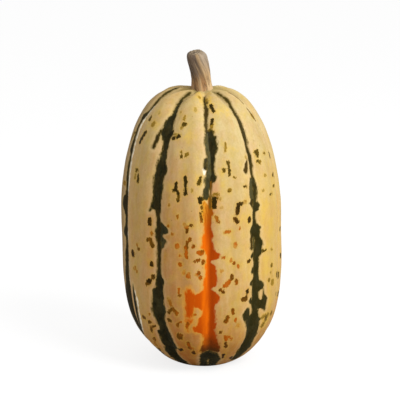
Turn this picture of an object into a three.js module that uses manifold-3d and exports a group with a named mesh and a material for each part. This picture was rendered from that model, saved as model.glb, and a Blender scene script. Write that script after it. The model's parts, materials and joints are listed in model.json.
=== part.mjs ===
// Delicata squash: a ribbed, nearly cylindrical fruit that stands on its blossom end,
// with the cut stub of its woody stem seated in the shallow crown.
// Millimetres, +Z up. The origin is the centre of the flat spot that the fruit rests on.

import * as THREE from "three";
import { mergeVertices } from "three/addons/utils/BufferGeometryUtils.js";
import Module from "manifold-3d";

const wasm = await Module();
wasm.setup();

// Driving dimensions of the fruit.
const fruitHeight = 167;
const fruitRadius = 48.5; // over the rib crests, at the widest level
const flatSpotRadius = 15;
const crownDip = 2;
const baseAcross = 0.6; // the axis stands this far to the right at the flat spot
const crownAcross = -2.4; // and leans over to here at the crown

// Behind the stem the crown falls away, fully inside the near radius and not at all past the far one.
const backDrop = { depth: 3, near: 14, far: 34, narrowness: 4 };

// The side is two superellipse arcs: a long one below the waist and a rounder one above it.
const lowerArc = { centre: 89, reach: 92.5, power: 4.5, root: 1.8 };
const upperArc = { centre: 94, reach: 73.5, power: 1.67, root: 3.4 };

// Ribs: furrows are narrow and crests are broad. Depths are shares of the local radius.
const ribCount = 10;
const frontFurrow = THREE.MathUtils.degToRad(5);
const furrowShareWaist = 0.03;
const furrowShareEnds = 0.06;
const furrowSoftness = 0.35;

// Driving dimensions of the stem.
const stemFoot = new THREE.Vector3(-0.5, 0, 161.5);
const stemKnee = new THREE.Vector3(-0.6, 0, 171.5);
const stemLean = new THREE.Vector3(-1.9, -0.3, 180);
const stemTip = new THREE.Vector3(-3.7, -0.8, 187);
const stemFootRadius = 6.8;
const stemRadius = 6.1;
const stemTipRadius = 5.8;
const stemFlare = { start: 0.16, end: 0.42 }; // shares of the length where the foot draws in
const stemRidges = 5;
const stemRidgeShare = 0.07;
const stemTwist = THREE.MathUtils.degToRad(35);
const cutSlopeSide = 0.15; // the cut end faces a little to the left and to the front
const cutSlopeFront = 0.25;
const socketGap = 0.3;

// Mesh fineness.
const segmentsPerRib = 10;
const sideRings = 28;
const crownRings = 6;
const stemSegments = 40;
const stemRings = 18;
const socketSegments = 48;
const weldTolerance = 1e-3;

function arcRadius(arc, height) {
  const share = Math.abs(height - arc.centre) / arc.reach;
  return fruitRadius * (1 - share ** arc.power) ** (1 / arc.root);
}

function sideRadius(height) {
  if (height < lowerArc.centre) {
    return arcRadius(lowerArc, height);
  }
  if (height > upperArc.centre) {
    return arcRadius(upperArc, height);
  }
  return fruitRadius;
}

// Half outline from the middle of the flat spot, up the side and over into the crown's dip.
function fruitOutline() {
  const outline = [new THREE.Vector2(0, 0), new THREE.Vector2(flatSpotRadius, 0)];
  for (let i = 1; i <= sideRings; i += 1) {
    const height = fruitHeight * 0.5 * (1 - Math.cos((Math.PI * i) / sideRings));
    outline.push(new THREE.Vector2(sideRadius(height), height));
  }
  const crownRadius = sideRadius(fruitHeight);
  for (let i = crownRings - 1; i >= 0; i -= 1) {
    const share = i / crownRings;
    const dip = crownDip * 0.5 * (1 + Math.cos(Math.PI * share));
    outline.push(new THREE.Vector2(crownRadius * share, fruitHeight - dip));
  }
  return outline;
}

// 0 on a rib's crest, 1 at the bottom of a furrow.
function furrowProfile(azimuth) {
  const wave = Math.sin(0.5 * ribCount * (azimuth - frontFurrow));
  const crest = Math.hypot(1, furrowSoftness);
  return (crest - Math.hypot(wave, furrowSoftness)) / (crest - furrowSoftness);
}

function crownDrop(radius, azimuth) {
  const behind = Math.max(0, -Math.cos(azimuth)) ** backDrop.narrowness;
  return backDrop.depth * behind * (1 - THREE.MathUtils.smoothstep(radius, backDrop.near, backDrop.far));
}

// Azimuth 0 faces the front, -Y, and grows towards +X.
function ribFruit(geometry) {
  const position = geometry.getAttribute("position");
  const point = new THREE.Vector3();
  for (let i = 0; i < position.count; i += 1) {
    point.fromBufferAttribute(position, i);
    const level = point.z / fruitHeight;
    const endness = (2 * level - 1) ** 2;
    const share = THREE.MathUtils.lerp(furrowShareWaist, furrowShareEnds, endness);
    const azimuth = Math.atan2(point.x, -point.y);
    const squeeze = 1 - share * furrowProfile(azimuth);
    const across = THREE.MathUtils.lerp(baseAcross, crownAcross, level);
    const drop = level > 0.5 ? crownDrop(Math.hypot(point.x, point.y), azimuth) : 0;
    position.setXYZ(i, point.x * squeeze + across, point.y * squeeze, point.z - drop);
  }
}

// Only the positions are kept and welded, and the slivers that close up at a pole go.
function weld(geometry) {
  const bare = new THREE.BufferGeometry();
  bare.setAttribute("position", geometry.getAttribute("position").clone());
  bare.setIndex(geometry.getIndex());
  const welded = mergeVertices(bare, weldTolerance);
  const index = welded.getIndex().array;
  const kept = [];
  for (let i = 0; i < index.length; i += 3) {
    const [a, b, c] = index.subarray(i, i + 3);
    if (a !== b && b !== c && c !== a) {
      kept.push(a, b, c);
    }
  }
  welded.setIndex(kept);
  return welded;
}

function toSolid(geometry) {
  const welded = weld(geometry);
  const vertProperties = new Float32Array(welded.getAttribute("position").array);
  const triVerts = new Uint32Array(welded.getIndex().array);
  return new wasm.Manifold(new wasm.Mesh({ numProp: 3, vertProperties, triVerts }));
}

function toGeometry(solid) {
  const mesh = solid.getMesh();
  const geometry = new THREE.BufferGeometry();
  geometry.setAttribute("position", new THREE.BufferAttribute(mesh.vertProperties, 3));
  geometry.setIndex(new THREE.BufferAttribute(mesh.triVerts, 1));
  geometry.computeVertexNormals();
  return geometry;
}

// Round socket that the stem's foot sits in, a gap wider and deeper than the foot.
function stemSocket() {
  const floor = stemFoot.z - socketGap;
  const height = fruitHeight + crownDip - floor;
  const radius = stemFootRadius + socketGap;
  const socket = new THREE.CylinderGeometry(radius, radius, height, socketSegments);
  socket.rotateX(Math.PI / 2);
  socket.translate(stemFoot.x, stemFoot.y, floor + height / 2);
  return socket;
}

function makeFruit() {
  const geometry = new THREE.LatheGeometry(fruitOutline(), ribCount * segmentsPerRib);
  geometry.rotateX(Math.PI / 2);
  ribFruit(geometry);
  return toGeometry(toSolid(geometry).subtract(toSolid(stemSocket())));
}

function stemSectionRadius(share, angle) {
  const drawnIn = THREE.MathUtils.smoothstep(share, stemFlare.start, stemFlare.end);
  const ridge = 1 + stemRidgeShare * Math.cos(stemRidges * (angle + stemTwist * share));
  const shaft = ridge * THREE.MathUtils.lerp(stemRadius, stemTipRadius, share);
  return THREE.MathUtils.lerp(stemFootRadius, shaft, drawnIn);
}

// A unit cylinder laid along the leaning path, with five twisting ridges and a sloped cut.
function makeStem() {
  const geometry = new THREE.CylinderGeometry(1, 1, 1, stemSegments, stemRings);
  geometry.rotateX(Math.PI / 2);
  const path = new THREE.CatmullRomCurve3([stemFoot, stemKnee, stemLean, stemTip]);
  const position = geometry.getAttribute("position");
  const point = new THREE.Vector3();
  for (let i = 0; i < position.count; i += 1) {
    point.fromBufferAttribute(position, i);
    const share = point.z + 0.5;
    const radius = stemSectionRadius(share, Math.atan2(point.y, point.x));
    const x = point.x * radius;
    const y = point.y * radius;
    const slope = share ** 3 * (cutSlopeSide * x + cutSlopeFront * y);
    const centre = path.getPoint(share);
    position.setXYZ(i, centre.x + x, centre.y + y, centre.z + slope);
  }
  geometry.computeVertexNormals();
  return geometry;
}

const rindMaterial = new THREE.MeshStandardMaterial({ color: 0xe6cd97, roughness: 0.45, metalness: 0 });
const stemMaterial = new THREE.MeshStandardMaterial({ color: 0x8f6f4d, roughness: 0.85, metalness: 0 });

const fruit = new THREE.Mesh(makeFruit(), rindMaterial);
fruit.name = "fruit";

const stem = new THREE.Mesh(makeStem(), stemMaterial);
stem.name = "stem";

const squash = new THREE.Group();
squash.add(fruit, stem);

export default squash;
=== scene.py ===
import json
import math
import re
from functools import partial

import bpy
import numpy as np
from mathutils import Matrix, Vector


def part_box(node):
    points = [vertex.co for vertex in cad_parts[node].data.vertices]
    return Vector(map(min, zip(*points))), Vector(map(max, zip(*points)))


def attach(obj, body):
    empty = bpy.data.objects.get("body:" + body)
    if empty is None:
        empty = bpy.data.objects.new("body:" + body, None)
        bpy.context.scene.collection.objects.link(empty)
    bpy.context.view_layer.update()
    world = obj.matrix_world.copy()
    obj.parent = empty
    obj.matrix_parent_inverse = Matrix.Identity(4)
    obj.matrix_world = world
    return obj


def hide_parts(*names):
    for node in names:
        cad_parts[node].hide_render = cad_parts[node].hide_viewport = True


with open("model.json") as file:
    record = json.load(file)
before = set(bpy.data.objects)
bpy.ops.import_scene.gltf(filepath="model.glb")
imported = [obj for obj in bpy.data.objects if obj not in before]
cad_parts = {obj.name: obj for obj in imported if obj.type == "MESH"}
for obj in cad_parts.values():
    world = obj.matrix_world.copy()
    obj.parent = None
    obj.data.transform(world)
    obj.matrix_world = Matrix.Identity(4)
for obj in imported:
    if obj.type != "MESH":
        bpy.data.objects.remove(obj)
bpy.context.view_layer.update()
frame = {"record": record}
fruitLow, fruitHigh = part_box("fruit")
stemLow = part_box("stem")[0]
restPoint = frame["record"]["mounts"][0]["pos_m"]
mm = 0.001
print("frame loaded")


# small helpers for building node trees, geometry and shader alike

def feed(tree, socket, value):
    if isinstance(value, bpy.types.NodeSocket):
        tree.links.new(value, socket)
    else:
        socket.default_value = value


def put(tree, kind, inputs=None, **settings):
    node = tree.nodes.new(kind)
    for name, value in settings.items():
        setattr(node, name, value)
    for key, value in (inputs or {}).items():
        feed(tree, node.inputs[key], value)
    return node


def maths(tree, operation, *values, clamp=False):
    node = put(tree, "ShaderNodeMath", operation=operation, use_clamp=clamp)
    for socket, value in zip(node.inputs, values):
        feed(tree, socket, value)
    return node.outputs[0]


def vectorMaths(tree, operation, *values):
    node = put(tree, "ShaderNodeVectorMath", operation=operation)
    for socket, value in zip(node.inputs, values):
        feed(tree, socket, value)
    return node.outputs["Vector"]


def ramp(tree, value, low, high, toLow=0.0, toHigh=1.0, smooth=True):
    node = put(tree, "ShaderNodeMapRange", {"Value": value, "From Min": low, "From Max": high,
                                            "To Min": toLow, "To Max": toHigh})
    node.interpolation_type = "SMOOTHSTEP" if smooth else "LINEAR"
    return node.outputs["Result"]


def combine(tree, x, y, z):
    return put(tree, "ShaderNodeCombineXYZ", {"X": x, "Y": y, "Z": z}).outputs[0]


def split(tree, vector):
    return put(tree, "ShaderNodeSeparateXYZ", {0: vector}).outputs


def noise(tree, vector, size, detail=2.0, roughness=0.5):
    node = put(tree, "ShaderNodeTexNoise", {"Vector": vector, "Detail": detail, "Roughness": roughness})
    if isinstance(size, bpy.types.NodeSocket):
        feed(tree, node.inputs["Scale"], maths(tree, "DIVIDE", 1, size))
    else:
        feed(tree, node.inputs["Scale"], 1 / size)
    return node.outputs[0]


def mixColour(tree, share, first, second, blend="MIX"):
    node = put(tree, "ShaderNodeMix", {0: share, 6: first, 7: second}, data_type="RGBA", blend_type=blend)
    return node.outputs[2]


# Short forms for one tree: any operation, add, subtract, multiply, and fade between two bounds.
def shortForms(tree):
    sums = [partial(maths, tree, operation) for operation in ("ADD", "SUBTRACT", "MULTIPLY")]
    return [partial(maths, tree), *sums, partial(ramp, tree)]


# An input is given by its kind, or by the number that it starts at.
def newTree(name, kind, inputs, outputs):
    tree = bpy.data.node_groups.new(name, kind)
    madeKind = "NodeSocketGeometry" if kind == "GeometryNodeTree" else "NodeSocketFloat"
    for label in outputs:
        tree.interface.new_socket(label, in_out="OUTPUT", socket_type=madeKind)
    for label, start in inputs.items():
        givenKind = {float: "Float", int: "Int"}.get(type(start), start)
        socket = tree.interface.new_socket(label, in_out="INPUT", socket_type="NodeSocket" + givenKind)
        if givenKind is not start:
            socket.default_value = start
    given = tree.nodes.new("NodeGroupInput").outputs
    made = tree.nodes.new("NodeGroupOutput").inputs
    return tree, given, made


def growMesh(name, tree, values):
    piece = bpy.data.objects.new(name, bpy.data.meshes.new(name))
    bpy.context.collection.objects.link(piece)
    modifier = piece.modifiers.new(name, "NODES")
    modifier.node_group = tree
    for item in tree.interface.items_tree:
        if item.in_out == "INPUT" and item.name in values:
            modifier[item.identifier] = values[item.name]
    view = bpy.context.evaluated_depsgraph_get()
    grown = bpy.data.meshes.new_from_object(piece.evaluated_get(view), depsgraph=view)
    piece.modifiers.clear()
    piece.data = grown
    piece.data.name = name
    return piece


def guideCurve(name, points):
    curve = bpy.data.curves.new(name, "CURVE")
    curve.dimensions = "3D"
    spline = curve.splines.new("POLY")
    spline.points.add(len(points) - 1)
    for place, (x, y, z) in zip(spline.points, points):
        place.co = (x * mm, y * mm, z * mm, 1)
    guide = bpy.data.objects.new(name, curve)
    bpy.context.collection.objects.link(guide)
    return guide


# The sizes that a tree takes in, labelled by their own names: crownRise becomes Crown Rise.
def socketSizes(shape, counts, numbers, lengths, angles):
    sizes = {name: shape[name] for name in counts}
    sizes.update({name: float(shape[name]) for name in numbers})
    sizes.update({name: shape[name] * mm for name in lengths})
    sizes.update({name: math.radians(shape[name]) for name in angles})
    return {re.sub("([A-Z])", r" \1", name).title(): size for name, size in sizes.items()}


def storeValues(tree, geometry, values):
    for name, value in values.items():
        store = put(tree, "GeometryNodeStoreNamedAttribute", {"Geometry": geometry, "Name": name},
                    data_type="FLOAT", domain="POINT")
        feed(tree, store.inputs["Value"], value)
        geometry = store.outputs[0]
    return geometry


def closeAndSkin(tree, geometry, material, made):
    closed = put(tree, "GeometryNodeMergeByDistance", {"Geometry": geometry, "Distance": 0.00002})
    soft = put(tree, "GeometryNodeSetShadeSmooth", {"Geometry": closed.outputs[0]})
    real = put(tree, "GeometryNodeRealizeInstances", {"Geometry": soft.outputs[0]})
    skinned = put(tree, "GeometryNodeSetMaterial", {"Geometry": real.outputs[0], "Material": material})
    feed(tree, made["Geometry"], skinned.outputs[0])


def turnedOutline(tree, given):
    columns = maths(tree, "ADD", given["Columns"], 1)
    grid = put(tree, "GeometryNodeMeshGrid", {"Size X": 1, "Size Y": 1, "Vertices X": columns,
                                              "Vertices Y": given["Rows"]})
    flat = split(tree, put(tree, "GeometryNodeInputPosition").outputs[0])
    outline = put(tree, "GeometryNodeObjectInfo", {"Object": given["Outline"]})
    share = maths(tree, "ADD", flat["Y"], 0.5)
    sample = put(tree, "GeometryNodeSampleCurve", {"Curves": outline.outputs["Geometry"]}, mode="FACTOR")
    feed(tree, sample.inputs["Factor"], share)
    profile = split(tree, sample.outputs["Position"])
    slope = split(tree, sample.outputs["Tangent"])
    turn = maths(tree, "MULTIPLY", flat["X"], math.tau)
    outZ = maths(tree, "MULTIPLY", slope["X"], -1)
    return {"mesh": grid.outputs["Mesh"], "turn": turn, "share": share, "radius": profile["X"],
            "height": profile["Z"], "outX": slope["Z"], "outZ": outZ}


# camera, light and floor

stageLook = {
    "aimAcross": -1.8, "aimHeight": 98.5, "distance": 1100, "elevation": 14, "orbitHeight": 84,
    "lens": 165, "floorSize": 6.0, "floorSeen": 0.2, "floorBounce": 0.46, "floorGlow": 0.80,
    "skyStrength": 0.87, "keyPower": 7.9, "keySize": 0.42, "keyPlace": (0.52, -0.5, 0.68),
    "nearClip": 0.05, "floorRoughness": 0.9,
}


def lookAt(thing, place, target):
    thing.location = place
    step = [t - p for t, p in zip(target, place)]
    level = math.hypot(step[0], step[1])
    thing.rotation_euler = (math.atan2(level, -step[2]), 0, math.atan2(-step[0], step[1]))


def setStage(look):
    scene = bpy.context.scene
    scene.view_settings.view_transform = "Standard"
    camera = bpy.data.objects.new("camera", bpy.data.cameras.new("camera"))
    scene.collection.objects.link(camera)
    camera.data.lens = look["lens"]
    camera.data.clip_start = look["nearClip"]
    tilt = math.radians(look["elevation"])
    place = (look["aimAcross"] * mm, -look["distance"] * mm * math.cos(tilt),
             look["orbitHeight"] * mm + look["distance"] * mm * math.sin(tilt))
    lookAt(camera, place, (look["aimAcross"] * mm, 0, look["aimHeight"] * mm))
    scene.camera = camera

    world = bpy.data.worlds.new("whiteRoom")
    scene.world = world
    world.use_nodes = True
    world.node_tree.nodes["Background"].inputs["Color"].default_value = (1, 1, 1, 1)
    world.node_tree.nodes["Background"].inputs["Strength"].default_value = look["skyStrength"]

    key = bpy.data.objects.new("keyLight", bpy.data.lights.new("keyLight", "AREA"))
    scene.collection.objects.link(key)
    key.data.size = look["keySize"]
    key.data.energy = look["keyPower"]
    lookAt(key, look["keyPlace"], (0, 0, look["orbitHeight"] * mm))

    half = look["floorSize"] / 2
    corners = [(-half, -half, restPoint[2]), (half, -half, restPoint[2]),
               (half, half, restPoint[2]), (-half, half, restPoint[2])]
    floor = bpy.data.objects.new("floor", bpy.data.meshes.new("floor"))
    floor.data.from_pydata(corners, [], [(0, 1, 2, 3)])
    scene.collection.objects.link(floor)
    paper = bpy.data.materials.new("floorPaper")
    paper.use_nodes = True
    sheet = paper.node_tree.nodes["Principled BSDF"]
    sheet.inputs["Roughness"].default_value = look["floorRoughness"]
    sheet.inputs["Specular IOR Level"].default_value = 0.0
    sheet.inputs["Emission Color"].default_value = (1, 1, 1, 1)
    tree = paper.node_tree
    seen = put(tree, "ShaderNodeLightPath").outputs["Is Camera Ray"]  # the glow lights nothing else
    shown, bounce = [(grey, grey, grey, 1) for grey in (look["floorSeen"], look["floorBounce"])]
    feed(tree, sheet.inputs["Base Color"], mixColour(tree, seen, bounce, shown))
    feed(tree, sheet.inputs["Emission Strength"], maths(tree, "MULTIPLY", seen, look["floorGlow"]))
    floor.data.materials.append(paper)


setStage(stageLook)
print("camera, light and floor set")


# shader groups: each puts out masks, values or colours only

def raggedEdgeGroup():
    tree, given, made = newTree("raggedEdge", "ShaderNodeTree", {
        "Vector": "Vector", "Distance": "Float", "Softness": 0.2, "Wander": 0.5, "Size": 0.002,
        "Stretch": 3.0, "Rim Width": 0.5,
    }, ("Mask", "Rim", "Depth"))
    do, plus, minus, times, fade = shortForms(tree)

    def swing(share, stretch, gain):
        squeeze = combine(tree, 1, 1, do("DIVIDE", 1, stretch))
        place = vectorMaths(tree, "MULTIPLY", given["Vector"], squeeze)
        value = noise(tree, place, times(given["Size"], share), 2.0, 0.6)
        return times(minus(value, 0.5), gain)

    doubled = times(given["Stretch"], 2.4)
    shift = plus(swing(1.0, given["Stretch"], 3.6), swing(0.4, given["Stretch"], 2.6))
    shift = plus(shift, swing(0.28, doubled, 1.5))
    distance = plus(given["Distance"], times(shift, given["Wander"]))
    inner = times(given["Softness"], -1)
    feed(tree, made["Mask"], fade(distance, given["Softness"], inner))
    away = do("ABSOLUTE", distance)
    feed(tree, made["Rim"], fade(away, given["Rim Width"], 0.0))
    feed(tree, made["Depth"], times(distance, -1))
    return tree


def skinMottleGroup():
    tree, given, made = newTree("skinMottle", "ShaderNodeTree", {
        "Vector": "Vector", "Blotch Size": 0.012, "Streak Size": 0.003,
    }, ("Blotch", "Patch", "Streak", "Speckle"))
    bent = vectorMaths(tree, "MULTIPLY", given["Vector"], (1, 1, 0.6))
    blotch = noise(tree, bent, given["Blotch Size"], 3.0, 0.55)
    feed(tree, made["Blotch"], ramp(tree, blotch, 0.32, 0.68))
    aside = vectorMaths(tree, "ADD", bent, (0.31, 0.17, 0.05))
    patch = noise(tree, aside, maths(tree, "MULTIPLY", given["Blotch Size"], 0.45), 3.0, 0.6)
    feed(tree, made["Patch"], ramp(tree, patch, 0.42, 0.72))
    long = vectorMaths(tree, "MULTIPLY", given["Vector"], (1, 1, 0.14))
    streak = noise(tree, long, given["Streak Size"], 3.0, 0.55)
    feed(tree, made["Streak"], ramp(tree, streak, 0.3, 0.7))
    speckle = noise(tree, given["Vector"], 0.0011, 2.0, 0.6)
    feed(tree, made["Speckle"], ramp(tree, speckle, 0.35, 0.65))
    return tree


def poresGroup():
    tree, given, made = newTree("pores", "ShaderNodeTree", {
        "Vector": "Vector", "Spacing": 0.0016, "Reach": 0.3,
    }, ("Pit", "Tint"))
    cells = put(tree, "ShaderNodeTexVoronoi", {"Vector": given["Vector"]}, feature="F1")
    feed(tree, cells.inputs["Scale"], maths(tree, "DIVIDE", 1, given["Spacing"]))
    feed(tree, made["Pit"], ramp(tree, cells.outputs["Distance"], given["Reach"], 0.0))
    feed(tree, made["Tint"], split(tree, cells.outputs["Color"])[0])
    return tree


def fibresGroup():
    tree, given, made = newTree("fibres", "ShaderNodeTree", {
        "Vector": "Vector", "Size": 0.0008, "Stretch": 10.0,
    }, ("Fibre", "Crack"))
    squeeze = combine(tree, 1, 1, maths(tree, "DIVIDE", 1, given["Stretch"]))
    place = vectorMaths(tree, "MULTIPLY", given["Vector"], squeeze)
    fibre = noise(tree, place, given["Size"], 4.0, 0.6)
    feed(tree, made["Fibre"], ramp(tree, fibre, 0.25, 0.75, smooth=False))
    wide = noise(tree, place, maths(tree, "MULTIPLY", given["Size"], 2.6), 2.0, 0.5)
    apart = maths(tree, "ABSOLUTE", maths(tree, "SUBTRACT", wide, 0.5))
    feed(tree, made["Crack"], ramp(tree, apart, 0.035, 0.0))
    return tree


raggedEdge = raggedEdgeGroup()
skinMottle = skinMottleGroup()
pores = poresGroup()
fibres = fibresGroup()
print("shader groups built")


def useGroup(tree, group, inputs):
    node = tree.nodes.new("ShaderNodeGroup")
    node.node_tree = group
    for name, value in inputs.items():
        feed(tree, node.inputs[name], value)
    return node.outputs


def attribute(tree, name):
    return put(tree, "ShaderNodeAttribute", attribute_name=name).outputs["Fac"]


def startMaterial(name, **settings):
    material = bpy.data.materials.new(name)
    material.use_nodes = True
    tree = material.node_tree
    surface = tree.nodes["Principled BSDF"]
    for label, value in settings.items():
        surface.inputs[label.replace("_", " ")].default_value = value
    place = put(tree, "ShaderNodeTexCoord").outputs["Object"]
    return material, tree, surface, place


# the fruit: an outline turned round the upright axis, with ribs between narrow furrows

fruitShape = {
    "height": (fruitHigh.z - fruitLow.z) / mm, "radius": 48.5, "flatSpot": 15,
    "crownDip": 2.2, "crownLift": 0.4, "crownDepth": 0.7, "crownRise": 1.7,
    "baseAcross": 0.6, "crownAcross": -2.4, "stemAcross": -0.5,
    "backDrop": 3.0, "backNear": 14, "backFar": 34,
    "lowerArc": (89, 92.5, 4.5, 1.8), "upperArc": (94, 73.5, 1.67, 3.4),
    "columns": 432, "rows": 222,
    "ribCount": 10, "frontFurrow": 5, "furrowWander": 1.65, "furrowBunch": -4.2,
    "topTurn": 3.5, "topTurnFacing": 25,
    "waistDepth": 0.9, "endDepth": 1.6, "valleyDepth": 2.0, "valleyWidth": 4.0, "valleySoftness": 1.0,
    "midGrooveDepth": 0.75, "lumpHeight": 0.5, "lumpSize": 24, "rippleHeight": 0.22,
}


def sideRadius(height, shape):
    def arc(centre, reach, power, root):
        return shape["radius"] * (1 - (abs(height - centre) / reach) ** power) ** (1 / root)
    if height < shape["lowerArc"][0]:
        return arc(*shape["lowerArc"])
    return arc(*shape["upperArc"]) if height > shape["upperArc"][0] else shape["radius"]


def fruitOutline(shape, sideSteps=90, crownSteps=16):
    points = [(0, 0, 0), (shape["flatSpot"] * 0.5, 0, 0), (shape["flatSpot"], 0, 0)]
    for i in range(1, sideSteps + 1):
        height = shape["height"] * 0.5 * (1 - math.cos(math.pi * i / sideSteps))
        points.append((sideRadius(height, shape), 0, height))
    rim = points[-1][0]
    for i in range(crownSteps - 1, -1, -1):
        share = i / crownSteps
        dip = shape["crownDip"] * 0.5 * (1 + math.cos(math.pi * share))
        points.append((rim * share, 0, shape["height"] - dip))
    liftFrom = 0.9 * shape["height"]
    lifts = [max(z - liftFrom, 0) / (shape["height"] - liftFrom) * shape["crownLift"] for _, _, z in points]
    return [(x, y, z + lift) for (x, y, z), lift in zip(points, lifts)]


def ribbedFruitTree(sizes):
    tree, given, made = newTree("ribbedFruit", "GeometryNodeTree", {
        "Outline": "Object", "Skin": "Material", **sizes}, ("Geometry",))
    do, plus, minus, times, fade = shortForms(tree)

    turned = turnedOutline(tree, given)  # the seam is at the back
    turn, radius, height = turned["turn"], turned["radius"], turned["height"]
    level = do("DIVIDE", height, given["Height"])

    # furrows: a broad swing between crests, and a narrow valley along each furrow's line
    swing = do("SINE", minus(turn, given["Front Furrow"]))
    sway = times(times(swing, swing),
                 do("MULTIPLY_ADD", swing, given["Furrow Bunch"], given["Furrow Wander"]))
    facing = do("MAXIMUM", do("COSINE", minus(turn, given["Top Turn Facing"])), 0)
    upper = times(times(fade(level, 0.5, 0.85), facing), given["Top Turn"])
    swung = minus(plus(turn, sway), upper)
    away = minus(swung, given["Front Furrow"])
    phase = times(away, times(given["Rib Count"], 0.5))
    wave = do("ABSOLUTE", do("SINE", phase))
    broad = minus(1, do("POWER", wave, 1.3))
    arcPerPhase = do("DIVIDE", times(radius, 2), given["Rib Count"])

    def crease(aside):
        soft = given["Valley Softness"]
        rounded = minus(do("SQRT", do("MULTIPLY_ADD", aside, aside, times(soft, soft))), soft)
        return do("EXPONENT", times(do("DIVIDE", rounded, given["Valley Width"]), -1))

    valley = crease(times(do("ARCSINE", wave), arcPerPhase))
    middle = crease(times(do("ARCCOSINE", wave), arcPerPhase))

    endness = do("POWER", minus(times(level, 2), 1), 2)
    broadDepth = plus(given["Waist Depth"],
                      times(minus(given["End Depth"], given["Waist Depth"]), endness))
    broadDepth = plus(broadDepth, times(fade(level, 0.88, 1.0), given["Crown Depth"]))
    inward = plus(times(broad, broadDepth), times(valley, given["Valley Depth"]))
    inward = plus(inward, times(middle, given["Mid Groove Depth"]))

    # natural unevenness: broad lumps, and long low ripples that run from end to end
    around = combine(tree, times(do("SINE", turn), radius), times(do("COSINE", turn), radius), height)
    lumps = minus(noise(tree, around, given["Lump Size"], 2.0, 0.4), 0.5)
    long = vectorMaths(tree, "MULTIPLY", around, (1, 1, 0.12))
    ripples = minus(noise(tree, long, 0.0048), 0.5)
    uneven = plus(times(lumps, times(given["Lump Height"], 2)),
                  times(ripples, times(given["Ripple Height"], 2)))
    inward = minus(inward, uneven)

    # nothing moves on the flat spot, and furrows fade where they meet at the two poles
    inward = times(inward, times(fade(height, 0.0003, 0.012), fade(radius, 0.003, 0.014)))
    radiusNow = minus(radius, times(inward, turned["outX"]))
    heightNow = minus(height, times(inward, turned["outZ"]))

    # the axis leans going up, then comes back to the stem's foot, and the crown rises away from the front
    # and falls away straight behind
    drift = plus(given["Base Across"], times(level, minus(given["Crown Across"], given["Base Across"])))
    toStem = times(fade(radius, 0.022, 0.006), fade(level, 0.9, 0.97))
    across = plus(drift, times(toStem, minus(given["Stem Across"], drift)))
    behind = do("POWER", do("MAXIMUM", times(do("COSINE", turn), -1), 0), 4)
    drop = times(times(given["Back Drop"], behind),
                 times(fade(radius, given["Back Far"], given["Back Near"]),
                       do("GREATER_THAN", level, 0.5)))
    x = plus(times(do("SINE", turn), radiusNow), across)
    y = times(times(do("COSINE", turn), radiusNow), -1)
    rise = times(times(fade(level, 0.88, 1.0), given["Crown Rise"]),
                 do("MULTIPLY_ADD", do("COSINE", turn), -0.5, 0.5))
    place = combine(tree, x, y, plus(minus(heightNow, drop), rise))
    flat = storeValues(tree, turned["mesh"], {
        "valley": valley, "middle": middle, "along": turned["share"], "level": level,
        "turn": turn, "rib": do("DIVIDE", phase, math.pi)})
    shaped = put(tree, "GeometryNodeSetPosition", {"Geometry": flat, "Position": place})
    closeAndSkin(tree, shaped.outputs[0], given["Skin"], made)
    return tree


def makeFruit(shape, skin):
    lengths = ("height", "waistDepth", "endDepth", "crownDepth", "valleyDepth", "valleyWidth",
               "valleySoftness", "midGrooveDepth", "lumpHeight", "lumpSize", "rippleHeight", "baseAcross",
               "crownAcross", "stemAcross", "crownRise", "backDrop", "backNear", "backFar")
    angles = ("frontFurrow", "furrowWander", "furrowBunch", "topTurn", "topTurnFacing")
    sizes = socketSizes(shape, ("columns", "rows"), ("ribCount",), lengths, angles)
    outline = guideCurve("fruitOutline", fruitOutline(shape))
    fruit = growMesh("ribbedRind", ribbedFruitTree(sizes), {"Outline": outline, "Skin": skin, **sizes})
    bpy.data.objects.remove(outline)
    return fruit


# markings: distances to each mark are worked out on the unrolled skin, in millimetres

# Furrow 0 faces the front and the numbers grow to the right. A mark's sideways places are measured from
# its furrow's stripe line, which lies this far from the bottom of the furrow itself.
stripeSlip = {1: -1.0, -1: 0.6, -2: 2.7}

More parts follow.
